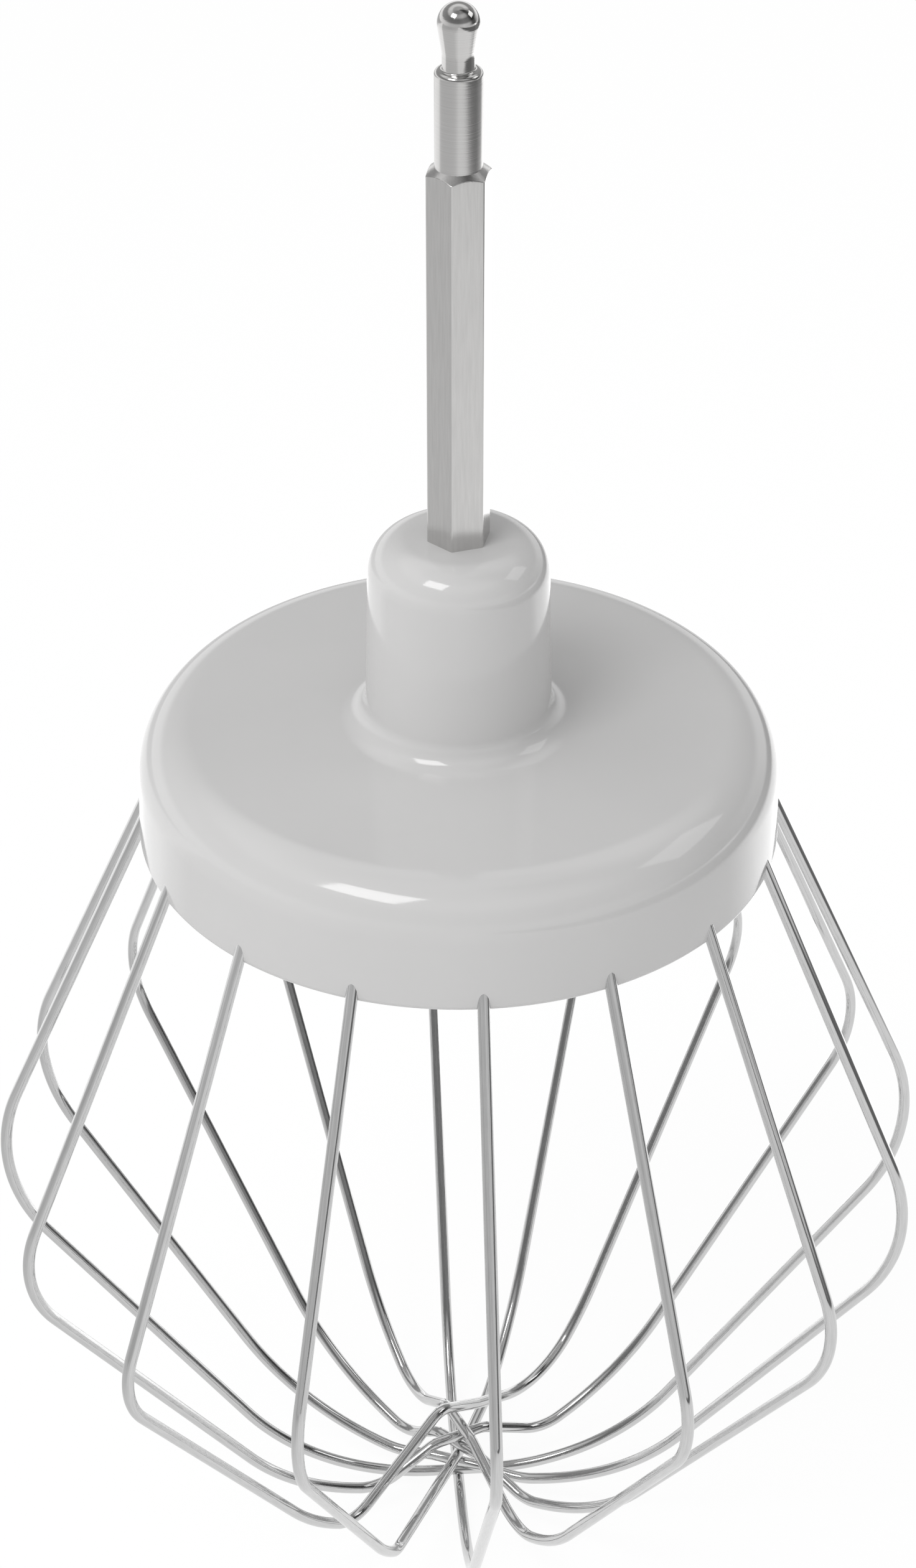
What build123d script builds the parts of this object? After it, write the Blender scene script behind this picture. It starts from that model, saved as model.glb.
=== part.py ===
from build123d import *
import os
from collections import namedtuple
from math import atan2, cos, radians, sin, tan

# Whisk for a stand mixer: a hexagonal drive bar, a white hub closed by a base plate,
# and eight wire loops that cross below it. Millimetres, +Z up along the drive bar.
# The origin is on the axis, at the shoulder where the hexagon ends and the journal begins.

# Drive bar
HEX_ACROSS_FLATS = 6.2
HEX_LENGTH = 43.5  # hexagon showing above the hub
HEX_TURN = -12.5  # its nearest corner, in degrees from the front
HEX_END_SLOPE = 35.0  # chamfer on the hexagon's upper end
SOCKET_DEPTH = 29.0  # hexagon held inside the hub
LOCK_GROOVE_D = 5.0  # ring groove that keeps the bar from pulling out of the hub
LOCK_GROOVE_WIDTH = 2.5
LOCK_GROOVE_UP = 6.0  # its lower side above the bar's lower end
JOURNAL_D = 5.0
JOURNAL_LENGTH = 10.0  # straight part
JOURNAL_EDGE = 0.5  # rounding above the straight part
WAIST_D = 3.4  # catch groove between the journal and the nose
WAIST_LENGTH = 1.7
NOSE_D = 4.36
NOSE_TAPER = 9.0  # cone between the waist and the ball, in degrees from the axis

# Hub: a round neck on a shallow disc, hollow below
NECK_HEIGHT = 23.0
NECK_BASE_D = 20.9
NECK_DRAFT = 0.55  # how much less its radius is at the top
NECK_EDGE = 4.3
NECK_FILLET = 3.0
DISC_HEIGHT = 14.2
DISC_BASE_D = 72.6
DISC_DRAFT = 0.5
DISC_SHOULDER = 6.0
DISC_EDGE = 0.8
ROOF = 2.8
SKIRT = 2.3
CAVITY_CORNER = 4.0
BOSS_D = 16.0

# Base plate, with an upstanding ring under the wire ends
PLATE_THICKNESS = 3.0
CLAMP_WIDTH = 2.5
CLAMP_IN = 2.7  # its outer side, inwards from the corner of the wires' hooks
FIT_GAP = 0.05  # between pieces that fit round each other

# Wire loops, as seen from the hub's underside: radii from the axis and depths below it
WIRE_D = 1.4
LOOPS = 8
FIRST_LOOP_TURN = -63.3  # front leg of the first loop, in degrees from the front
LEG_OUT = 0.2  # axis of a leg at the underside, outwards from the hub's rim
LEG_SPREAD = 23.7  # legs from the vertical
RUN_SLOPE = 54.0  # runs below the corner, from the horizontal
BOWL_DEPTH = 102.4
HOOK_HEIGHT = 7.5  # wire ends, bent inwards above the hub's underside
HOOK_LENGTH = 6.2  # from its corner to its end
HOOK_BEND = 3.0
KINK_STRAIGHT = 0.5  # between the bowl and the bend of a kink
CREST_HALF = 3.5  # straight stretch over the crossing, each side of the axis
CREST_BEND = 3.5

# Loops from the lowest at the crossing to the highest. Each has its number, the air below it at
# the crossing, the tilt of its crest there in degrees, front end up, the bend radius of its
# outer corners, and a front and a back half: the radius of its bowl, the slope of the bowl where
# the wire turns up, and the bend radius of that kink. The lowest two don't turn up.
Half = namedtuple("Half", "bowl kink_slope kink_bend", defaults=(None, None))
Loop = namedtuple("Loop", "number air tilt corner_bend front back")
CROSSING = (
    Loop(4, 0.0, 0, 10.0, Half(36.7), Half(32.1)),
    Loop(8, 0.1, 0, 22.0, Half(35.9), Half(35.9)),
    Loop(7, 0.1, 0, 20.0, Half(35.9, 17, 8.0), Half(35.9, 17, 8.0)),
    Loop(3, 0.1, 12, 13.0, Half(38.0, 43, 5.5), Half(34.3, 24, 6.0)),
    Loop(6, 0.1, 0, 14.0, Half(35.9, 22, 5.0), Half(35.9, 19, 5.0)),
    Loop(1, 0.1, 0, 14.0, Half(35.9, 24, 6.0), Half(35.9, 25, 6.0)),
    Loop(5, 1.0, 0, 11.5, Half(36.9, 34, 8.5), Half(34.3, 31, 8.0)),
    Loop(2, 1.3, 30, 10.0, Half(38.0, 38, 5.7), Half(33.6, 42.5, 12.0)),
)

# Sizes and heights that follow
NECK_TOP_Z = -HEX_LENGTH
DISC_TOP_Z = NECK_TOP_Z - NECK_HEIGHT
UNDERSIDE_Z = DISC_TOP_Z - DISC_HEIGHT
ROOF_Z = DISC_TOP_Z - ROOF
BAR_END_Z = NECK_TOP_Z - SOCKET_DEPTH
PLATE_TOP_Z = UNDERSIDE_Z + PLATE_THICKNESS
HOOK_Z = UNDERSIDE_Z + HOOK_HEIGHT
NECK_TOP_D = NECK_BASE_D - 2 * NECK_DRAFT
DISC_TOP_D = DISC_BASE_D - 2 * DISC_DRAFT
CAVITY_R = DISC_BASE_D / 2 - SKIRT
WIRE_R = WIRE_D / 2
LEG_RADIUS = DISC_BASE_D / 2 + LEG_OUT
HOOK_RADIUS = LEG_RADIUS - HOOK_HEIGHT * tan(radians(LEG_SPREAD))
CLAMP_OUTER_R = HOOK_RADIUS - CLAMP_IN
CLAMP_INNER_R = CLAMP_OUTER_R - CLAMP_WIDTH
KINK_STEPS = 20  # rounds that settle the place of a kink's corner


def turned(outline):
    """Revolve a closed outline of the XZ half plane about the axis."""
    return revolve(make_face(Plane.XZ * outline), axis=Axis.Z)


def tube(outer_r, inner_r, bottom, top):
    """Ring about the axis between two heights."""
    ring = Circle(outer_r) - Circle(inner_r)
    return extrude(Pos(0, 0, bottom) * ring, amount=top - bottom)


def hex_prism(across_flats, bottom, top):
    """Hexagonal bar about the axis, with a corner towards HEX_TURN."""
    section = RegularPolygon(across_flats / 2, 6, major_radius=False, rotation=HEX_TURN - 90)
    return extrude(Pos(0, 0, bottom) * section, amount=top - bottom)


def lock_ring(gap):
    """Ring that fills the bar's lock groove, smaller than it by the gap on each face."""
    bottom = BAR_END_Z + LOCK_GROOVE_UP + gap
    top = bottom + LOCK_GROOVE_WIDTH - 2 * gap
    return tube(HEX_ACROSS_FLATS, LOCK_GROOVE_D / 2 + gap, bottom, top)


def make_drive_shaft():
    journal_r = JOURNAL_D / 2
    flare = HEX_ACROSS_FLATS
    fall = (flare - journal_r) * tan(radians(HEX_END_SLOPE))
    end_cone = turned(
        Polyline((0, 0), (journal_r, 0), (flare, -fall), (flare, BAR_END_Z), (0, BAR_END_Z), close=True)
    )
    bar = hex_prism(HEX_ACROSS_FLATS, BAR_END_Z, 0) & end_cone
    bar -= lock_ring(0)
    return bar + turned_end()


def turned_end():
    """Journal, waist and ball nose above the hexagon's shoulder."""
    journal_r = JOURNAL_D / 2
    waist_r = WAIST_D / 2
    nose_r = NOSE_D / 2
    taper = radians(NOSE_TAPER)
    waist_z = JOURNAL_LENGTH + JOURNAL_EDGE
    cone_z = waist_z + WAIST_LENGTH
    ball_meet_r = nose_r * cos(taper)
    ball_meet_z = cone_z + (ball_meet_r - waist_r) / tan(taper)
    nose_z = ball_meet_z + nose_r * sin(taper)
    edge = RadiusArc((journal_r, JOURNAL_LENGTH), (journal_r - JOURNAL_EDGE, waist_z), -JOURNAL_EDGE)
    ball = CenterArc((0, nose_z), nose_r, -NOSE_TAPER, 90 + NOSE_TAPER)
    outline = [
        Line((0, 0), (journal_r, 0)),
        Line((journal_r, 0), edge @ 0),
        edge,
        Line(edge @ 1, (waist_r, waist_z)),
        Line((waist_r, waist_z), (waist_r, cone_z)),
        Line((waist_r, cone_z), ball @ 0),
        ball,
        Line(ball @ 1, (0, 0)),
    ]
    return turned(Curve() + outline)


def make_hub_cap():
    outside = FilletPolyline(
        (0, NECK_TOP_Z),
        (NECK_TOP_D / 2, NECK_TOP_Z),
        (NECK_BASE_D / 2, DISC_TOP_Z),
        (DISC_TOP_D / 2, DISC_TOP_Z),
        (DISC_BASE_D / 2, UNDERSIDE_Z),
        (CAVITY_R, UNDERSIDE_Z),
        radius=[NECK_EDGE, NECK_FILLET, DISC_SHOULDER, DISC_EDGE],
    )
    inside = FilletPolyline(
        (CAVITY_R, UNDERSIDE_Z),
        (CAVITY_R, ROOF_Z),
        (BOSS_D / 2, ROOF_Z),
        (BOSS_D / 2, PLATE_TOP_Z),
        (0, PLATE_TOP_Z),
        radius=[CAVITY_CORNER, 0, 0],
    )
    middle = Line((0, PLATE_TOP_Z), (0, NECK_TOP_Z))
    cap = turned(Curve() + [outside, inside, middle])
    clamp_bottom = HOOK_Z + WIRE_R + FIT_GAP
    cap += tube(CLAMP_OUTER_R, CLAMP_INNER_R, clamp_bottom, ROOF_Z + ROOF / 2)
    socket = hex_prism(HEX_ACROSS_FLATS + 2 * FIT_GAP, BAR_END_Z, NECK_TOP_Z)
    cap -= socket - lock_ring(FIT_GAP)
    for number in range(1, LOOPS + 1):
        for side in (1, -1):
            cap -= leg_hole(number, side)
    return cap


def leg_hole(number, side):
    """Slanting hole through the skirt for one leg of a loop."""
    low = loop_point(number, side * leg_radius(-HOOK_HEIGHT), UNDERSIDE_Z - HOOK_HEIGHT)
    high = loop_point(number, side * HOOK_RADIUS, HOOK_Z)
    mouth = Plane(origin=low, z_dir=high - low)
    return extrude(mouth * Circle(WIRE_R + FIT_GAP), amount=(high - low).length)


def make_base_plate():
    plate = extrude(Pos(0, 0, UNDERSIDE_Z) * Circle(CAVITY_R - FIT_GAP), amount=PLATE_THICKNESS)
    seat = HOOK_Z - WIRE_R - FIT_GAP
    return plate + tube(CLAMP_OUTER_R, CLAMP_INNER_R, PLATE_TOP_Z - PLATE_THICKNESS / 2, seat)


def leg_radius(height):
    """Distance of a leg from the axis at a height above the hub's underside."""
    return LEG_RADIUS - height * tan(radians(LEG_SPREAD))


def loop_point(number, radius, height):
    """Point in a loop's plane: the radius is positive at the front, negative at the back."""
    turn = radians(FIRST_LOOP_TURN + (number - 1) * 180 / LOOPS)
    return Vector(radius * sin(turn), -radius * cos(turn), height)


def crossing_depths():
    """Depth of each loop's axis at the crossing: the second loop runs along the bowl's floor."""
    depths = [BOWL_DEPTH + WIRE_D + CROSSING[1].air]
    for loop in CROSSING[1:]:
        depths.append(depths[-1] - WIRE_D - loop.air)
    return depths


def run_corner(bowl, floor):
    """Radius and depth where a leg meets the run that is tangent to a bowl with its floor at a depth."""
    slope = radians(RUN_SLOPE)
    tangent_r = bowl * sin(slope)
    tangent_depth = floor - bowl * (1 - cos(slope))
    lean = tan(radians(LEG_SPREAD)) * tan(slope)
    depth = (tangent_depth + (tangent_r - LEG_RADIUS) * tan(slope)) / (1 + lean)
    return leg_radius(-depth), depth


def plain_bottom(half, depth):
    """Corner of half a loop that runs straight through the crossing: (radius, depth, bend radius)."""
    corner_r = half.bowl * tan(radians(RUN_SLOPE) / 2)
    return [(corner_r, depth, half.bowl * (1 - CREST_HALF / corner_r))]


def kinked_bottom(half, depth):
    """Corners of half a loop that follows the bowl, turns up at a kink and bends over its crest."""
    bowl = half.bowl
    slope = radians(RUN_SLOPE)
    leave = radians(half.kink_slope)
    leave_r = bowl * sin(leave)
    leave_depth = BOWL_DEPTH - bowl * (1 - cos(leave))
    back = bowl * tan((slope - leave) / 2)
    reach = KINK_STRAIGHT
    for _ in range(KINK_STEPS):
        kink_r = leave_r - reach * cos(leave)
        kink_depth = leave_depth + reach * sin(leave)
        rise = atan2(kink_depth - depth, kink_r - CREST_HALF)
        reach = KINK_STRAIGHT + half.kink_bend * tan((leave + rise) / 2)
    return [
        (leave_r + back * cos(leave), leave_depth - back * sin(leave), bowl),
        (kink_r, kink_depth, half.kink_bend),
        (CREST_HALF, depth, CREST_BEND),
    ]


def half_corners(half, depth, corner_bend):
    """Corners of half a loop, from its hook to the crossing: (radius, depth, bend radius)."""
    hook = (HOOK_RADIUS, -HOOK_HEIGHT, HOOK_BEND)
    if half.kink_slope is None:
        corner = (*run_corner(half.bowl, depth), corner_bend)
        return [hook, corner] + plain_bottom(half, depth)
    corner = (*run_corner(half.bowl, BOWL_DEPTH), corner_bend)
    return [hook, corner] + kinked_bottom(half, depth)


def loop_path(loop, depth):
    """Bent line of one loop, from its front hook round the cage to its back hook."""
    rise = CREST_HALF * tan(radians(loop.tilt))
    front = half_corners(loop.front, depth - rise, loop.corner_bend)
    back = half_corners(loop.back, depth + rise, loop.corner_bend)
    corners = front + [(-radius, down, bend) for radius, down, bend in reversed(back)]
    points = [loop_point(loop.number, radius, UNDERSIDE_Z - down) for radius, down, _ in corners]
    first = loop_point(loop.number, HOOK_RADIUS - HOOK_LENGTH, HOOK_Z)
    last = loop_point(loop.number, HOOK_LENGTH - HOOK_RADIUS, HOOK_Z)
    return FilletPolyline([first] + points + [last], radius=[bend for _, _, bend in corners])


def make_wire(path):
    section = Plane(origin=path @ 0, z_dir=path % 0) * Circle(WIRE_R)
    return sweep(section, path=path)


def save(node, name):
    node.label = name
    export_step(node, f"parts/{name}.step")


os.makedirs("parts", exist_ok=True)
save(make_drive_shaft(), "drive_shaft")
save(make_hub_cap(), "hub_cap")
save(make_base_plate(), "base_plate")
for loop, depth in zip(CROSSING, crossing_depths()):
    save(make_wire(loop_path(loop, depth)), f"whisk_wire_{loop.number}")
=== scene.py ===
from collections import namedtuple
from math import atan2, cos, pi, radians, sin, tan

import bmesh
import bpy
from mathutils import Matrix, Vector


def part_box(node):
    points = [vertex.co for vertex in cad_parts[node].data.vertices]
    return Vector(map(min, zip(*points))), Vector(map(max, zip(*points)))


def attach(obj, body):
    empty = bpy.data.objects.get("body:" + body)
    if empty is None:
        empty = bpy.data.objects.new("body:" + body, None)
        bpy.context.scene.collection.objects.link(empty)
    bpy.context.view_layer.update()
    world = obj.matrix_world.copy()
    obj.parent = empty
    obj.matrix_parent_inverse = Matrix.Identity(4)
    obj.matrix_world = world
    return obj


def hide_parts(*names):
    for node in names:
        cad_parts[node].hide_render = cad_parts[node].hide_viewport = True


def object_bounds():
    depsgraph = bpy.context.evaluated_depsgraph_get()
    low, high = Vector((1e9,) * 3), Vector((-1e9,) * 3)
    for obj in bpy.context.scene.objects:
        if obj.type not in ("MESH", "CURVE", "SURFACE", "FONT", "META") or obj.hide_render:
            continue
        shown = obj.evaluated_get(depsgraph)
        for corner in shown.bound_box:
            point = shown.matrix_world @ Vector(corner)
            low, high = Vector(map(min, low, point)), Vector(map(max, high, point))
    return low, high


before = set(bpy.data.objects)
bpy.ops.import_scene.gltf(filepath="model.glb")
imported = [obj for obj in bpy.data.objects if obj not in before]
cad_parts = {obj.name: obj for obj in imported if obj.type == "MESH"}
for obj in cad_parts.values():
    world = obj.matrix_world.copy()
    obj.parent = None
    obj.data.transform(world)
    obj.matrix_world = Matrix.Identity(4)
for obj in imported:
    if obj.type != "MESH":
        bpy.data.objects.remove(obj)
cad_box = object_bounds()

MM = 0.001
BODY = "root"

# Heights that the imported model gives, in millimetres
UNDERSIDE_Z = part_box("hub_cap")[0][2] / MM
NECK_TOP_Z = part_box("hub_cap")[1][2] / MM
BAR_END_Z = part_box("drive_shaft")[0][2] / MM
FLOOR_Z = cad_box[0][2] / MM

# Drive bar, in millimetres
HEX_ACROSS_FLATS = 6.2
HEX_TURN = -12.5
HEX_END_SLOPE = 35.0
HEX_CORNER_SHARPNESS = 70
JOURNAL_D = 5.0
JOURNAL_LENGTH = 10.0
JOURNAL_EDGE = 0.5
WAIST_D = 3.4
WAIST_LENGTH = 1.7
WAIST_CORNER = 0.25
NOSE_D = 4.36
NOSE_TAPER = 9.0
NOSE_FOOT_BEND = 3.0

# Hub, in millimetres
NECK_HEIGHT = 23.0
NECK_TOP_D = 19.8
NECK_BASE_D = 20.9
NECK_EDGE = 4.3
NECK_FILLET = 3.0
DISC_TOP_D = 71.6
DISC_BASE_D = 72.6
DISC_SHOULDER = 6.0
DISC_EDGE = 0.8
ROOF = 2.8
SKIRT = 2.3
CAVITY_CORNER = 4.0

# Wire loops, in millimetres: radii from the axis and depths below the hub's underside
WIRE_D = 1.4
LOOPS = 8
FIRST_LOOP_TURN = -63.3
LEG_RADIUS = 36.5
LEG_SPREAD = 23.7
RUN_SLOPE = 54.0
BOWL_DEPTH = 102.4
HOOK_HEIGHT = 7.5
HOOK_LENGTH = 6.2
HOOK_BEND = 3.0
KINK_STRAIGHT = 0.5
KINK_STEPS = 20
CREST_HALF = 3.5
CREST_BEND = 3.5
Half = namedtuple("Half", "bowl kink_slope kink_bend", defaults=(None, None))
Loop = namedtuple("Loop", "number air tilt corner_bend front back")
CROSSING = (
    Loop(4, 0.0, 0, 10.0, Half(36.7), Half(32.1)),
    Loop(8, 0.1, 0, 22.0, Half(35.9), Half(35.9)),
    Loop(7, 0.1, 0, 20.0, Half(35.9, 17, 8.0), Half(35.9, 17, 8.0)),
    Loop(3, 0.1, 12, 13.0, Half(38.0, 43, 5.5), Half(34.3, 24, 6.0)),
    Loop(6, 0.1, 0, 14.0, Half(35.9, 22, 5.0), Half(35.9, 19, 5.0)),
    Loop(1, 0.1, 0, 14.0, Half(35.9, 24, 6.0), Half(35.9, 25, 6.0)),
    Loop(5, 1.0, 0, 11.5, Half(36.9, 34, 8.5), Half(34.3, 31, 8.0)),
    Loop(2, 1.3, 30, 10.0, Half(38.0, 38, 5.7), Half(33.6, 42.5, 12.0)),
)
WIRE_SIDES = 20
BEND_SEGMENTS = 28

# Fineness of the turned surfaces
LATHE_STEPS = 240
BAR_STEPS = 360
ARC_STEP = 4.0
SHARP_ANGLE = 40.0
ON_AXIS = 1e-6
CHAMFER_START = 1.2
CHAMFER_DEPTH = 1.0
CHAMFER_ROWS = 25
SHOULDER_ROW = 0.02
JOURNAL_ROW = 0.1
NOSE_ROWS = 24

# Photograph's camera, worked out from the disc's rim and the legs
PHOTO_SIZE = (1472, 2520)
RIM_CENTRE_PIXEL = (737.05, 1316.25)
FOCAL_PIXELS = 5956.0
CAMERA_DISTANCE = 422.9
CAMERA_ELEVATION = 34.54
SENSOR = 36.0
CLIP_START = 0.01


def colour(value, tint=(1.0, 1.0, 1.0)):
    """Grey of one value with a slight tint, as a node colour."""
    return (value * tint[0], value * tint[1], value * tint[2], 1.0)


# Nodes

def feed(link, socket, source):
    """Link a socket to a source, or set it to a plain number."""
    if isinstance(source, float):
        socket.default_value = source
    else:
        link(source, socket)


def math_node(nodes, link, operation, *sources):
    """Result of a calculation on sockets and plain numbers."""
    node = nodes.new("ShaderNodeMath")
    node.operation = operation
    for socket, source in zip(node.inputs, sources):
        feed(link, socket, source)
    return node.outputs["Value"]


def colour_ramp(nodes, link, value, stops):
    """Colours along a value from nought to one: stops are (position, colour)."""
    node = nodes.new("ShaderNodeValToRGB")
    elements = node.color_ramp.elements
    while len(elements) < len(stops):
        elements.new(0.5)
    for element, (position, shade) in zip(elements, stops):
        element.position = position
        element.color = shade
    link(value, node.inputs["Fac"])
    return node.outputs["Color"]


def new_group(name, inputs, outputs):
    """Empty shader group with named sockets: {name: (type, default)} and {name: type}."""
    group = bpy.data.node_groups.new(name, "ShaderNodeTree")
    for socket, (kind, default) in inputs.items():
        made = group.interface.new_socket(socket, in_out="INPUT", socket_type=kind)
        made.default_value = default
    for socket, kind in outputs.items():
        group.interface.new_socket(socket, in_out="OUTPUT", socket_type=kind)
    start = group.nodes.new("NodeGroupInput")
    end = group.nodes.new("NodeGroupOutput")
    return group, start, end


NOISE_RANGE = (0.25, 0.75)


def grain_group():
    """Noise stretched by a vector: as it is, and spread between a low and a high value."""
    group, start, end = new_group(
        "stretched_grain",
        {
            "Vector": ("NodeSocketVector", (0, 0, 0)),
            "Stretch": ("NodeSocketVector", (1, 1, 1)),
            "Detail": ("NodeSocketFloat", 3.0),
            "Low": ("NodeSocketFloat", 0.0),
            "High": ("NodeSocketFloat", 1.0),
        },
        {"Mask": "NodeSocketFloat", "Value": "NodeSocketFloat"},
    )
    stretch = group.nodes.new("ShaderNodeVectorMath")
    stretch.operation = "MULTIPLY"
    noise = group.nodes.new("ShaderNodeTexNoise")
    noise.inputs["Scale"].default_value = 1.0
    span = group.nodes.new("ShaderNodeMapRange")
    span.inputs["From Min"].default_value, span.inputs["From Max"].default_value = NOISE_RANGE
    link = group.links.new
    link(start.outputs["Vector"], stretch.inputs[0])
    link(start.outputs["Stretch"], stretch.inputs[1])
    link(stretch.outputs["Vector"], noise.inputs["Vector"])
    link(start.outputs["Detail"], noise.inputs["Detail"])
    link(noise.outputs["Fac"], span.inputs["Value"])
    link(start.outputs["Low"], span.inputs["To Min"])
    link(start.outputs["High"], span.inputs["To Max"])
    link(noise.outputs["Fac"], end.inputs["Mask"])
    link(span.outputs["Result"], end.inputs["Value"])
    return group


GRAIN = grain_group()


class Finish:
    """A material under construction, with its Principled shader."""

    def __init__(self, name):
        self.material = bpy.data.materials.new(name)
        self.material.use_nodes = True
        self.nodes = self.material.node_tree.nodes
        self.link = self.material.node_tree.links.new
        self.shader = self.nodes["Principled BSDF"]

    def set(self, **values):
        for name, value in values.items():
            self.shader.inputs[name.replace("_", " ")].default_value = value

    def object_coordinates(self):
        return self.nodes.new("ShaderNodeTexCoord").outputs["Object"]

    def grain(self, vector, stretch, detail, low=0.0, high=1.0):
        """Place the shared grain group and give its outputs."""
        node = self.nodes.new("ShaderNodeGroup")
        node.node_tree = GRAIN
        node.inputs["Stretch"].default_value = stretch
        node.inputs["Detail"].default_value = detail
        node.inputs["Low"].default_value = low
        node.inputs["High"].default_value = high
        self.link(vector, node.inputs["Vector"])
        return node.outputs

    def ramp(self, value, stops):
        return colour_ramp(self.nodes, self.link, value, stops)

    def bump(self, height, distance):
        """Raise the surface by a height, at full strength."""
        node = self.nodes.new("ShaderNodeBump")
        node.inputs["Distance"].default_value = distance
        node.inputs["Strength"].default_value = 1.0
        self.link(height, node.inputs["Height"])
        self.link(node.outputs["Normal"], self.shader.inputs["Normal"])


# Materials: tints, and bump heights in metres

PLASTIC_TINT = (1.0, 0.994, 0.99)
STEEL_TINT = (1.0, 0.99, 0.98)
SKIN_BUMP = 0.00001
LINE_BUMP = 0.000004


def white_plastic():
    """Glossy white moulding: faint cloudiness, a barely uneven skin."""
    finish = Finish("white_plastic")
    finish.set(IOR=1.49, Coat_Weight=0.25, Coat_Roughness=0.06)
    place = finish.object_coordinates()
    cloud = finish.grain(place, stretch=(60, 60, 60), detail=2.0)
    shade = finish.ramp(cloud["Value"], [(0.0, colour(0.655, PLASTIC_TINT)), (1.0, colour(0.675, PLASTIC_TINT))])
    finish.link(shade, finish.shader.inputs["Base Color"])
    haze = finish.grain(place, stretch=(900, 900, 900), detail=3.0, low=0.07, high=0.13)
    finish.link(haze["Value"], finish.shader.inputs["Roughness"])
    skin = finish.grain(place, stretch=(350, 350, 350), detail=1.0)
    finish.bump(skin["Mask"], SKIN_BUMP)
    return finish.material


def wire_steel():
    """Polished wire with fine drawing lines along it."""
    finish = Finish("wire_steel")
    finish.set(Metallic=1.0)
    flow = finish.nodes.new("ShaderNodeAttribute")
    flow.attribute_name = FLOW
    lines = finish.grain(flow.outputs["Vector"], stretch=(5, 5, 40), detail=4.0)
    shade = finish.ramp(lines["Value"], [(0.0, colour(0.58)), (1.0, colour(0.68))])
    finish.link(shade, finish.shader.inputs["Base Color"])
    polish = finish.grain(flow.outputs["Vector"], stretch=(9, 9, 15), detail=3.0, low=0.05, high=0.11)
    finish.link(polish["Value"], finish.shader.inputs["Roughness"])
    finish.bump(lines["Mask"], LINE_BUMP)
    return finish.material


def drive_steel():
    """Drawn hexagon with lines along it, then a finely turned journal and a polished nose."""
    finish = Finish("drive_steel")
    finish.set(Metallic=1.0)
    place = finish.object_coordinates()
    height = finish.nodes.new("ShaderNodeSeparateXYZ")
    finish.link(place, height.inputs["Vector"])
    drawn = finish.grain(place, stretch=(3800, 3800, 260), detail=5.0)
    turned = finish.grain(place, stretch=(60, 60, 7000), detail=4.0)
    above = math_node(finish.nodes, finish.link, "GREATER_THAN", height.outputs["Z"], 0.0)
    marks = finish.nodes.new("ShaderNodeMix")
    finish.link(above, marks.inputs["Factor"])
    finish.link(drawn["Value"], marks.inputs["A"])
    finish.link(turned["Value"], marks.inputs["B"])
    shade = finish.ramp(marks.outputs["Result"], [(0.0, colour(0.60, STEEL_TINT)), (1.0, colour(0.66, STEEL_TINT))])
    finish.link(shade, finish.shader.inputs["Base Color"])
    up = finish.nodes.new("ShaderNodeMapRange")
    up.inputs["From Min"].default_value = -CHAMFER_DEPTH * MM
    up.inputs["From Max"].default_value = (JOURNAL_LENGTH + WAIST_LENGTH) * MM
    finish.link(height.outputs["Z"], up.inputs["Value"])
    gloss = finish.ramp(up.outputs["Result"], [(0.0, colour(0.20)), (0.08, colour(0.24)),
                                               (0.8, colour(0.24)), (1.0, colour(0.07))])
    finish.link(gloss, finish.shader.inputs["Roughness"])
    finish.bump(marks.outputs["Result"], LINE_BUMP)
    return finish.material


# Outlines and turned meshes

def rounded(points):
    """Outline through (radius, height, bend) corners, with each bend as a run of arc points."""
    outline = []
    for index, (x, y, bend) in enumerate(points):
        here = Vector((x, y))
        if not bend:
            outline.append(here)
            continue
        before = (Vector(points[index - 1][:2]) - here).normalized()
        after = (Vector(points[index + 1][:2]) - here).normalized()
        half = before.angle(after) / 2
        centre = here + (before + after).normalized() * (bend / sin(half))
        first = here + before * (bend / tan(half)) - centre
        last = here + after * (bend / tan(half)) - centre
        turn = last.angle_signed(first)
        steps = max(3, round(abs(turn) / radians(ARC_STEP)))
        for step in range(steps + 1):
            angle = turn * step / steps
            spoke_x = first.x * cos(angle) - first.y * sin(angle)
            spoke_y = first.x * sin(angle) + first.y * cos(angle)
            outline.append(centre + Vector((spoke_x, spoke_y)))
    return outline


def turned_mesh(name, rows, steps, radius_at=None):
    """Closed mesh of rows (radius, height) swept about the axis, with its poles as single points.

    radius_at(radius, height, turn) may change the radius with the turn about the axis."""
    mesh = bmesh.new()
    rings = []
    for radius, height in rows:
        if radius < ON_AXIS:
            rings.append([mesh.verts.new((0, 0, height * MM))])
            continue
        ring = []
        for step in range(steps):
            turn = 2 * pi * step / steps
            r = radius_at(radius, height, turn) if radius_at else radius
            ring.append(mesh.verts.new((r * sin(turn) * MM, -r * cos(turn) * MM, height * MM)))
        rings.append(ring)
    for lower, upper in zip(rings, rings[1:]):
        for step in range(steps):
            after = (step + 1) % steps
            corners = [lower[step % len(lower)], lower[after % len(lower)],
                       upper[after % len(upper)], upper[step % len(upper)]]
            mesh.faces.new(list(dict.fromkeys(corners)))
    bmesh.ops.recalc_face_normals(mesh, faces=mesh.faces)
    return finished(name, mesh)


def finished(name, mesh):
    """Object of a bmesh at the origin, smooth except across sharp edges."""
    for face in mesh.faces:
        face.smooth = True
    for edge in mesh.edges:
        if len(edge.link_faces) == 2 and edge.calc_face_angle() > radians(SHARP_ANGLE):
            edge.smooth = False
    data = bpy.data.meshes.new(name)
    mesh.to_mesh(data)
    mesh.free()
    piece = bpy.data.objects.new(name, data)
    bpy.context.scene.collection.objects.link(piece)
    return piece


def stand_for(piece, nodes, material=None):
    """Ride the piece on the body in place of its CAD nodes, with its finish."""
    if material:
        piece.data.materials.clear()
        piece.data.materials.append(material)
    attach(piece, BODY)
    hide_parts(*nodes)


# Drive bar

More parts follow.
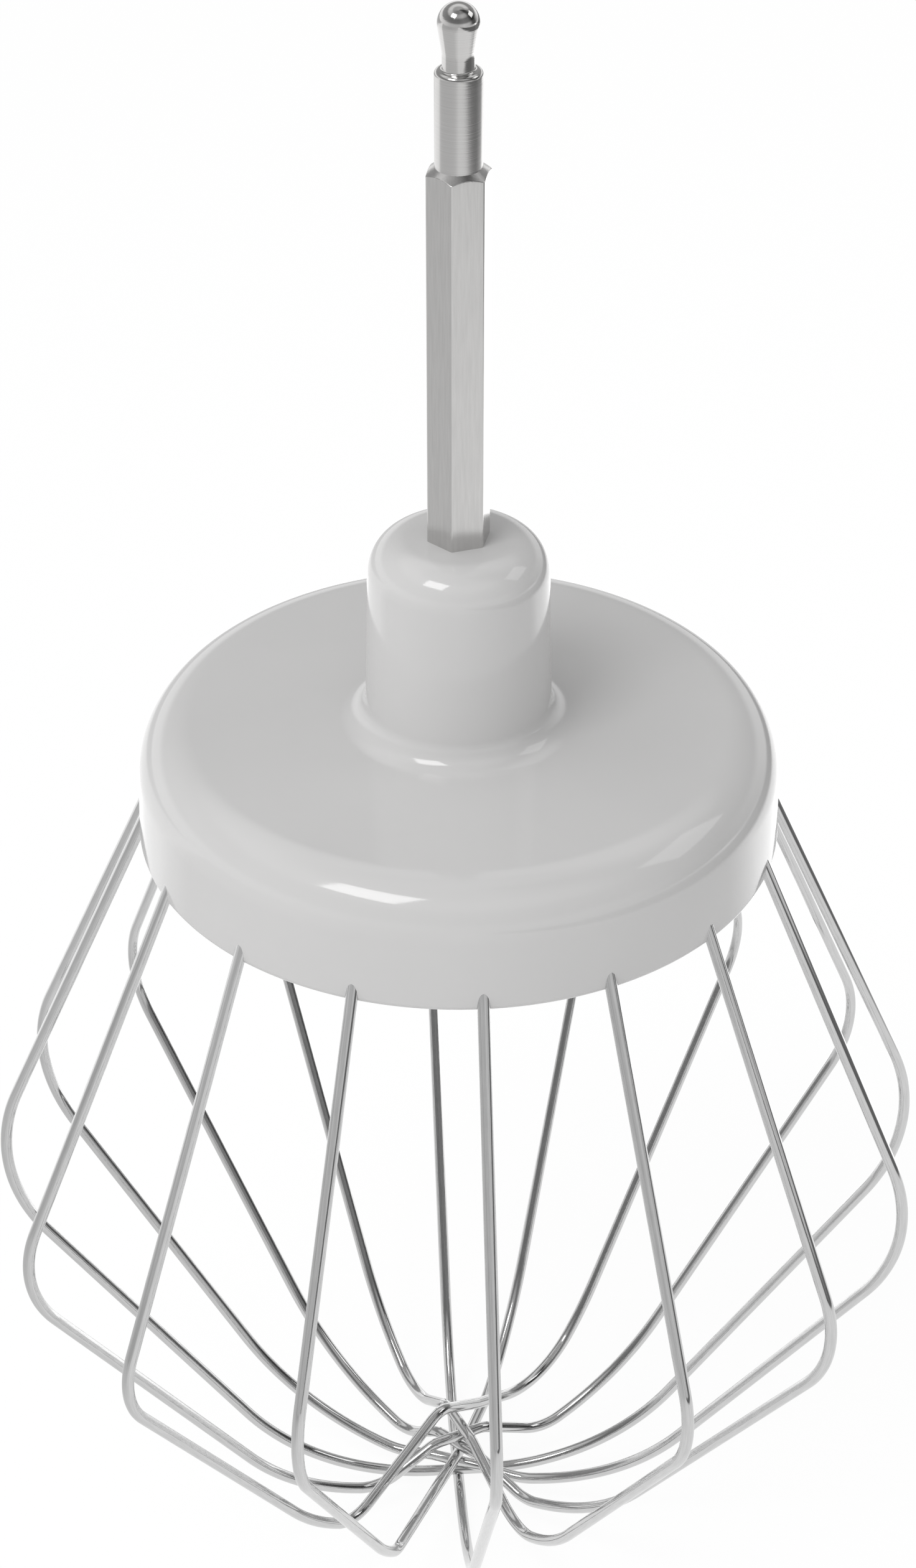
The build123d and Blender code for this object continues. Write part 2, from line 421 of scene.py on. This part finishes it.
def hexagon_radius(turn):
    """Distance from the axis to the hexagon's side, its corners slightly rounded."""
    flats = [radians(HEX_TURN + 30 + 60 * side) for side in range(6)]
    total = sum(max(cos(turn - flat), 0.0) ** HEX_CORNER_SHARPNESS for flat in flats)
    return HEX_ACROSS_FLATS / 2 / total ** (1 / HEX_CORNER_SHARPNESS)


def bar_radius(radius, height, turn):
    """Hexagon below the shoulder, cut by the chamfer cone, and plain round above it."""
    if height > 0:
        return radius
    cone = JOURNAL_D / 2 - height / tan(radians(HEX_END_SLOPE))
    return min(radius, cone, hexagon_radius(turn))


def make_drive_bar(material):
    journal_r = JOURNAL_D / 2
    waist_r = WAIST_D / 2
    nose_r = NOSE_D / 2
    taper = radians(NOSE_TAPER)
    waist_z = JOURNAL_LENGTH + JOURNAL_EDGE
    cone_z = waist_z + WAIST_LENGTH
    meet_r = nose_r * cos(taper)
    meet_z = cone_z + (meet_r - waist_r) / tan(taper)
    nose_z = meet_z + nose_r * sin(taper)
    wide = HEX_ACROSS_FLATS
    rows = [(0, BAR_END_Z), (wide, BAR_END_Z), (wide, -CHAMFER_START)]
    rows += [(wide, -CHAMFER_DEPTH + CHAMFER_DEPTH / CHAMFER_ROWS * step) for step in range(CHAMFER_ROWS)]
    rows += [(journal_r, 0.0), (journal_r, SHOULDER_ROW)]
    rows += [tuple(p) for p in rounded([
        (journal_r, JOURNAL_ROW, 0),
        (journal_r, waist_z, JOURNAL_EDGE),
        (waist_r, waist_z, WAIST_CORNER),
        (waist_r, cone_z, NOSE_FOOT_BEND),
        (meet_r, meet_z, 0),
    ])]
    for step in range(1, NOSE_ROWS + 1):
        angle = -taper + (pi / 2 + taper) * step / NOSE_ROWS
        rows.append((nose_r * cos(angle) if step < NOSE_ROWS else 0, nose_z + nose_r * sin(angle)))
    bar = turned_mesh("drive_bar", rows, BAR_STEPS, bar_radius)
    stand_for(bar, ["drive_shaft"], material)


# Hub

def make_hub(material):
    disc_top = NECK_TOP_Z - NECK_HEIGHT
    roof_z = disc_top - ROOF
    cavity_r = DISC_BASE_D / 2 - SKIRT
    rows = rounded([
        (0, NECK_TOP_Z, 0),
        (NECK_TOP_D / 2, NECK_TOP_Z, NECK_EDGE),
        (NECK_BASE_D / 2, disc_top, NECK_FILLET),
        (DISC_TOP_D / 2, disc_top, DISC_SHOULDER),
        (DISC_BASE_D / 2, UNDERSIDE_Z, DISC_EDGE),
        (cavity_r, UNDERSIDE_Z, 0),
        (cavity_r, roof_z, CAVITY_CORNER),
        (0, roof_z, 0),
    ])
    hub = turned_mesh("hub", [tuple(p) for p in rows], LATHE_STEPS)
    stand_for(hub, ["hub_cap"], material)


# Wire loops

FLOW = "wire_flow"
DECIMETRES = 10.0


def leg_radius(height):
    """Distance of a leg from the axis at a height above the hub's underside."""
    return LEG_RADIUS - height * tan(radians(LEG_SPREAD))


def loop_point(number, radius, height):
    """Point in a loop's plane, in metres: the radius is negative in the back half."""
    turn = radians(FIRST_LOOP_TURN + (number - 1) * 180 / LOOPS)
    return Vector((radius * sin(turn), -radius * cos(turn), height)) * MM


def crossing_depths():
    """Depth of each loop's axis at the crossing, from the lowest loop up."""
    depths = [BOWL_DEPTH + WIRE_D + CROSSING[1].air]
    for loop in CROSSING[1:]:
        depths.append(depths[-1] - WIRE_D - loop.air)
    return depths


def run_corner(bowl, floor):
    """Radius and depth where a leg meets the run that is tangent to a bowl with its floor at a depth."""
    slope = radians(RUN_SLOPE)
    tangent_r = bowl * sin(slope)
    tangent_depth = floor - bowl * (1 - cos(slope))
    lean = tan(radians(LEG_SPREAD)) * tan(slope)
    depth = (tangent_depth + (tangent_r - LEG_RADIUS) * tan(slope)) / (1 + lean)
    return leg_radius(-depth), depth


def plain_bottom(half, depth):
    """Corner of half a loop that runs straight through the crossing: (radius, depth, bend radius)."""
    corner_r = half.bowl * tan(radians(RUN_SLOPE) / 2)
    return [(corner_r, depth, half.bowl * (1 - CREST_HALF / corner_r))]


def kinked_bottom(half, depth):
    """Corners of half a loop that follows the bowl, turns up at a kink and bends over its crest."""
    bowl = half.bowl
    slope = radians(RUN_SLOPE)
    leave = radians(half.kink_slope)
    leave_r = bowl * sin(leave)
    leave_depth = BOWL_DEPTH - bowl * (1 - cos(leave))
    back = bowl * tan((slope - leave) / 2)
    reach = KINK_STRAIGHT
    for _ in range(KINK_STEPS):
        kink_r = leave_r - reach * cos(leave)
        kink_depth = leave_depth + reach * sin(leave)
        rise = atan2(kink_depth - depth, kink_r - CREST_HALF)
        reach = KINK_STRAIGHT + half.kink_bend * tan((leave + rise) / 2)
    return [
        (leave_r + back * cos(leave), leave_depth - back * sin(leave), bowl),
        (kink_r, kink_depth, half.kink_bend),
        (CREST_HALF, depth, CREST_BEND),
    ]


def half_corners(half, depth, corner_bend):
    """Corners of half a loop, from its hook to the crossing: (radius, depth, bend radius)."""
    hook = (leg_radius(HOOK_HEIGHT), -HOOK_HEIGHT, HOOK_BEND)
    hook_end = (hook[0] - HOOK_LENGTH, -HOOK_HEIGHT, 0.0)
    if half.kink_slope is None:
        corner = (*run_corner(half.bowl, depth), corner_bend)
        return [hook_end, hook, corner] + plain_bottom(half, depth)
    corner = (*run_corner(half.bowl, BOWL_DEPTH), corner_bend)
    return [hook_end, hook, corner] + kinked_bottom(half, depth)


def bent_wire_tree(material):
    """Geometry nodes that bend a line of corners by their own radii and draw a round wire along it."""
    tree = bpy.data.node_groups.new("bent_wire", "GeometryNodeTree")
    tree.interface.new_socket("Corners", in_out="INPUT", socket_type="NodeSocketGeometry")
    for name, kind, default in (("Diameter", "NodeSocketFloat", WIRE_D * MM),
                                ("Sides", "NodeSocketInt", WIRE_SIDES),
                                ("Bend Segments", "NodeSocketInt", BEND_SEGMENTS)):
        tree.interface.new_socket(name, in_out="INPUT", socket_type=kind).default_value = default
    tree.interface.new_socket("Wire", in_out="OUTPUT", socket_type="NodeSocketGeometry")
    nodes = tree.nodes
    link = tree.links.new
    start = nodes.new("NodeGroupInput")
    end = nodes.new("NodeGroupOutput")
    line = nodes.new("GeometryNodeMeshToCurve")
    link(start.outputs["Corners"], line.inputs["Mesh"])
    bend = nodes.new("GeometryNodeInputNamedAttribute")
    bend.data_type = "FLOAT"
    bend.inputs["Name"].default_value = "bend"
    fillet = nodes.new("GeometryNodeFilletCurve")
    fillet.mode = "POLY"
    link(line.outputs["Curve"], fillet.inputs["Curve"])
    link(bend.outputs["Attribute"], fillet.inputs["Radius"])
    link(start.outputs["Bend Segments"], fillet.inputs["Count"])
    along = capture_length(nodes, link, fillet.outputs["Curve"])
    circle = nodes.new("GeometryNodeCurvePrimitiveCircle")
    link(start.outputs["Sides"], circle.inputs["Resolution"])
    link(math_node(nodes, link, "DIVIDE", start.outputs["Diameter"], 2.0), circle.inputs["Radius"])
    around = capture_angle(nodes, link, circle.outputs["Curve"])
    tube = nodes.new("GeometryNodeCurveToMesh")
    tube.inputs["Fill Caps"].default_value = True
    link(along[0], tube.inputs["Curve"])
    link(around[0], tube.inputs["Profile Curve"])
    flow = nodes.new("ShaderNodeCombineXYZ")
    link(around[1], flow.inputs["X"])
    link(around[2], flow.inputs["Y"])
    link(along[1], flow.inputs["Z"])
    keep = nodes.new("GeometryNodeStoreNamedAttribute")
    keep.data_type = "FLOAT_VECTOR"
    keep.domain = "POINT"
    keep.inputs["Name"].default_value = FLOW
    link(tube.outputs["Mesh"], keep.inputs["Geometry"])
    link(flow.outputs["Vector"], keep.inputs["Value"])
    smooth = nodes.new("GeometryNodeSetShadeSmooth")
    link(keep.outputs["Geometry"], smooth.inputs["Geometry"])
    real = nodes.new("GeometryNodeRealizeInstances")
    link(smooth.outputs["Geometry"], real.inputs["Geometry"])
    paint = nodes.new("GeometryNodeSetMaterial")
    paint.inputs["Material"].default_value = material
    link(real.outputs["Geometry"], paint.inputs["Geometry"])
    link(paint.outputs["Geometry"], end.inputs["Wire"])
    return tree


def capture_length(nodes, link, curve):
    """Curve with the length along it in decimetres: (geometry, length)."""
    parameter = nodes.new("GeometryNodeSplineParameter")
    length = math_node(nodes, link, "MULTIPLY", parameter.outputs["Length"], DECIMETRES)
    return capture(nodes, link, curve, {"length": length})


def capture_angle(nodes, link, curve):
    """Curve with the cosine and sine of the angle round it: (geometry, cosine, sine)."""
    parameter = nodes.new("GeometryNodeSplineParameter")
    turn = math_node(nodes, link, "MULTIPLY", parameter.outputs["Factor"], 2 * pi)
    values = {name.lower(): math_node(nodes, link, name, turn) for name in ("COSINE", "SINE")}
    return capture(nodes, link, curve, values)


def capture(nodes, link, geometry, values):
    """Keep named values on the points of a curve: the geometry, then each kept value."""
    node = nodes.new("GeometryNodeCaptureAttribute")
    node.domain = "POINT"
    link(geometry, node.inputs["Geometry"])
    for name, value in values.items():
        node.capture_items.new("FLOAT", name)
        link(value, node.inputs[name])
    return [node.outputs["Geometry"]] + [node.outputs[name] for name in values]


def corner_line(loop, depth):
    """Mesh line through a loop's corners, with each corner's bend radius as an attribute."""
    rise = CREST_HALF * tan(radians(loop.tilt))
    front = half_corners(loop.front, depth - rise, loop.corner_bend)
    back = half_corners(loop.back, depth + rise, loop.corner_bend)
    corners = front + [(-radius, down, bend) for radius, down, bend in reversed(back)]
    points = [loop_point(loop.number, radius, UNDERSIDE_Z - down) for radius, down, _ in corners]
    data = bpy.data.meshes.new(f"corners_{loop.number}")
    data.from_pydata(points, [(i, i + 1) for i in range(len(points) - 1)], [])
    bends = data.attributes.new("bend", "FLOAT", "POINT")
    bends.data.foreach_set("value", [bend * MM for _, _, bend in corners])
    return data


def make_wires(material):
    tree = bent_wire_tree(material)
    for loop, depth in zip(CROSSING, crossing_depths()):
        guide = bpy.data.objects.new(f"guide_{loop.number}", corner_line(loop, depth))
        bpy.context.scene.collection.objects.link(guide)
        modifier = guide.modifiers.new("bent_wire", "NODES")
        modifier.node_group = tree
        depsgraph = bpy.context.evaluated_depsgraph_get()
        data = bpy.data.meshes.new_from_object(guide.evaluated_get(depsgraph))
        data.name = f"bent_wire_{loop.number}"
        bpy.data.objects.remove(guide)
        wire = bpy.data.objects.new(f"bent_wire_{loop.number}", data)
        bpy.context.scene.collection.objects.link(wire)
        stand_for(wire, [f"whisk_wire_{loop.number}"])


# Stage, light and camera

FLOOR_SIZE = 6.0
FLOOR_COLOUR = 0.92
FLOOR_WHITE = 1.04
FLOOR_GLOW = 0.88

# Painted light in the floor's glow, as the steel and the plastic see it, standing in for a pale sweep lit from
# behind: metres behind the object, grey
SWEEP_PAINTED_LIGHT = ((-0.60, 0.85), (-0.10, 0.95), (0.04, 1.0), (0.10, 1.8), (0.36, 1.8), (0.50, 0.95), (0.80, 0.9))

# Painted shade in that glow, a dark end to the right: metres to the right of the object, share
SWEEP_PAINTED_DARK_END = ((-0.60, 0.60), (-0.12, 0.72), (0.0, 1.0), (0.27, 1.0), (0.36, 0.10), (1.0, 0.10), (1.25, 0.9))

# Studio walls as the steel and the plastic see them: degrees from the front to the right, grey
WALLS = (
    (-180, 1.15), (-120, 1.05), (-85, 0.85), (-45, 0.62), (0, 0.60), (30, 0.75),
    (60, 0.60), (80, 0.10), (98, 0.10), (138, 1.1), (180, 1.15),
)

# And their brightness with height: sine of the elevation, share
CEILING = (
    (0.0, 1.0), (0.18, 1.0), (0.30, 0.35), (0.62, 0.30),
    (0.74, 0.8), (0.86, 0.8), (0.93, 0.45), (1.0, 0.45),
)

# Room light on the surfaces: even level, and how it grows towards the front and the left
ROOM_LEVEL = 0.67
ROOM_LEAN = (-0.36, -0.24, -0.06)


def grey_ramp(nodes, link, value, stops):
    """Greys along a value: stops are (place, grey), from the lowest place to the highest."""
    low, high = stops[0][0], stops[-1][0]
    share = nodes.new("ShaderNodeMapRange")
    share.inputs["From Min"].default_value = low
    share.inputs["From Max"].default_value = high
    link(value, share.inputs["Value"])
    greys = [((place - low) / (high - low), colour(grey)) for place, grey in stops]
    return colour_ramp(nodes, link, share.outputs["Result"], greys)


def mixed(nodes, link, factor, first, second, blend="MIX"):
    """Colour mix of two sockets or plain greys."""
    node = nodes.new("ShaderNodeMix")
    node.data_type = "RGBA"
    node.blend_type = blend
    feed(link, node.inputs["Factor"], factor)
    for name, source in (("A", first), ("B", second)):
        socket = next(s for s in node.inputs if s.name == name and s.type == "RGBA")
        if isinstance(source, float):
            socket.default_value = colour(source)
        else:
            link(source, socket)
    return next(s for s in node.outputs if s.type == "RGBA")


def seen_rays(nodes, link, path):
    """One for camera, glossy and transmission rays."""
    total = path.outputs["Is Camera Ray"]
    for name in ("Is Glossy Ray", "Is Transmission Ray"):
        total = math_node(nodes, link, "MAXIMUM", total, path.outputs[name])
    return total


def make_floor():
    """Pale floor under the lowest wire: white where it is seen, still taking a soft shadow, with painted light and
    shade in the glow that glossy rays see.
    """
    data = bpy.data.meshes.new("floor")
    edge = FLOOR_SIZE / 2
    height = FLOOR_Z * MM
    corners = [(-edge, -edge, height), (edge, -edge, height), (edge, edge, height), (-edge, edge, height)]
    data.from_pydata(corners, [], [(0, 1, 2, 3)])
    floor = bpy.data.objects.new("floor", data)
    bpy.context.scene.collection.objects.link(floor)
    material = bpy.data.materials.new("floor_paper_painted_glow")
    material.use_nodes = True
    nodes = material.node_tree.nodes
    link = material.node_tree.links.new
    nodes.remove(nodes["Principled BSDF"])
    paper = nodes.new("ShaderNodeBsdfDiffuse")
    paper.inputs["Color"].default_value = colour(FLOOR_COLOUR)
    place = nodes.new("ShaderNodeSeparateXYZ")
    link(nodes.new("ShaderNodeTexCoord").outputs["Object"], place.inputs["Vector"])
    # Painted light and shade on the floor, seen only in reflections: brighter behind the object, a dark end to the
    # right
    painted_light_behind = grey_ramp(nodes, link, place.outputs["Y"], SWEEP_PAINTED_LIGHT)
    painted_dark_end_beside = grey_ramp(nodes, link, place.outputs["X"], SWEEP_PAINTED_DARK_END)
    painted_sweep_light = mixed(nodes, link, 1.0, painted_light_behind, painted_dark_end_beside, "MULTIPLY")
    path = nodes.new("ShaderNodeLightPath")
    glow = nodes.new("ShaderNodeEmission")
    # The floor glows plain white for the camera, and with the painted sweep light and shade for glossy rays
    link(mixed(nodes, link, path.outputs["Is Glossy Ray"], FLOOR_WHITE, painted_sweep_light), glow.inputs["Color"])
    share = math_node(nodes, link, "MULTIPLY", seen_rays(nodes, link, path), FLOOR_GLOW)
    mix = nodes.new("ShaderNodeMixShader")
    link(share, mix.inputs["Fac"])
    link(paper.outputs["BSDF"], mix.inputs[1])
    link(glow.outputs["Emission"], mix.inputs[2])
    link(mix.outputs["Shader"], nodes["Material Output"].inputs["Surface"])
    floor.data.materials.append(material)


def make_world():
    """Room light from the front left, a white background, and studio walls for the reflections."""
    world = bpy.data.worlds.new("studio")
    bpy.context.scene.world = world
    world.use_nodes = True
    nodes = world.node_tree.nodes
    link = world.node_tree.links.new
    direction = nodes.new("ShaderNodeTexCoord").outputs["Generated"]
    parts = nodes.new("ShaderNodeSeparateXYZ")
    link(direction, parts.inputs["Vector"])
    front = math_node(nodes, link, "MULTIPLY", parts.outputs["Y"], -1.0)
    turn = math_node(nodes, link, "ARCTAN2", parts.outputs["X"], front)
    walls = grey_ramp(nodes, link, math_node(nodes, link, "DEGREES", turn), WALLS)
    ceiling = grey_ramp(nodes, link, parts.outputs["Z"], CEILING)
    studio = mixed(nodes, link, 1.0, walls, ceiling, "MULTIPLY")
    lean = nodes.new("ShaderNodeVectorMath")
    lean.operation = "DOT_PRODUCT"
    lean.inputs[1].default_value = ROOM_LEAN
    link(direction, lean.inputs[0])
    room = math_node(nodes, link, "ADD", lean.outputs["Value"], ROOM_LEVEL)
    path = nodes.new("ShaderNodeLightPath")
    unseen = mixed(nodes, link, path.outputs["Is Glossy Ray"], room, studio)
    link(mixed(nodes, link, path.outputs["Is Camera Ray"], unseen, 1.0), nodes["Background"].inputs["Color"])


Softbox = namedtuple("Softbox", "name direction distance size watts")
SOFTBOXES = (
    Softbox("left_softbox", (-0.36, -0.39, 0.85), 0.70, (0.27, 0.21), 1.0),
    Softbox("right_softbox", (0.75, 0.13, 0.65), 0.90, (0.40, 0.30), 0.5),
)


def make_lights(target):
    for box in SOFTBOXES:
        lamp = bpy.data.lights.new(box.name, "AREA")
        lamp.shape = "RECTANGLE"
        lamp.size, lamp.size_y = box.size
        lamp.energy = box.watts
        lit = bpy.data.objects.new(box.name, lamp)
        away = Vector(box.direction).normalized()
        lit.location = target + away * box.distance
        lit.rotation_euler = away.to_track_quat("Z", "Y").to_euler()
        bpy.context.scene.collection.objects.link(lit)


def make_camera(target):
    data = bpy.data.cameras.new("photo_camera")
    data.sensor_width = SENSOR
    data.lens = FOCAL_PIXELS / PHOTO_SIZE[1] * SENSOR
    data.shift_x = (PHOTO_SIZE[0] / 2 - RIM_CENTRE_PIXEL[0]) / PHOTO_SIZE[1]
    data.shift_y = (RIM_CENTRE_PIXEL[1] - PHOTO_SIZE[1] / 2) / PHOTO_SIZE[1]
    data.clip_start = CLIP_START
    camera = bpy.data.objects.new("photo_camera", data)
    rise = radians(CAMERA_ELEVATION)
    away = Vector((0, -cos(rise), sin(rise)))
    camera.location = target + away * CAMERA_DISTANCE * MM
    camera.rotation_euler = away.to_track_quat("Z", "Y").to_euler()
    bpy.context.scene.collection.objects.link(camera)
    bpy.context.scene.camera = camera


plastic = white_plastic()
make_drive_bar(drive_steel())
make_hub(plastic)
make_wires(wire_steel())
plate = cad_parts["base_plate"]
plate.data.materials.clear()
plate.data.materials.append(plastic)

rim_centre = Vector((0, 0, UNDERSIDE_Z * MM))
make_floor()
make_world()
make_lights(rim_centre)
make_camera(rim_centre)
bpy.context.scene.view_settings.view_transform = "Standard"
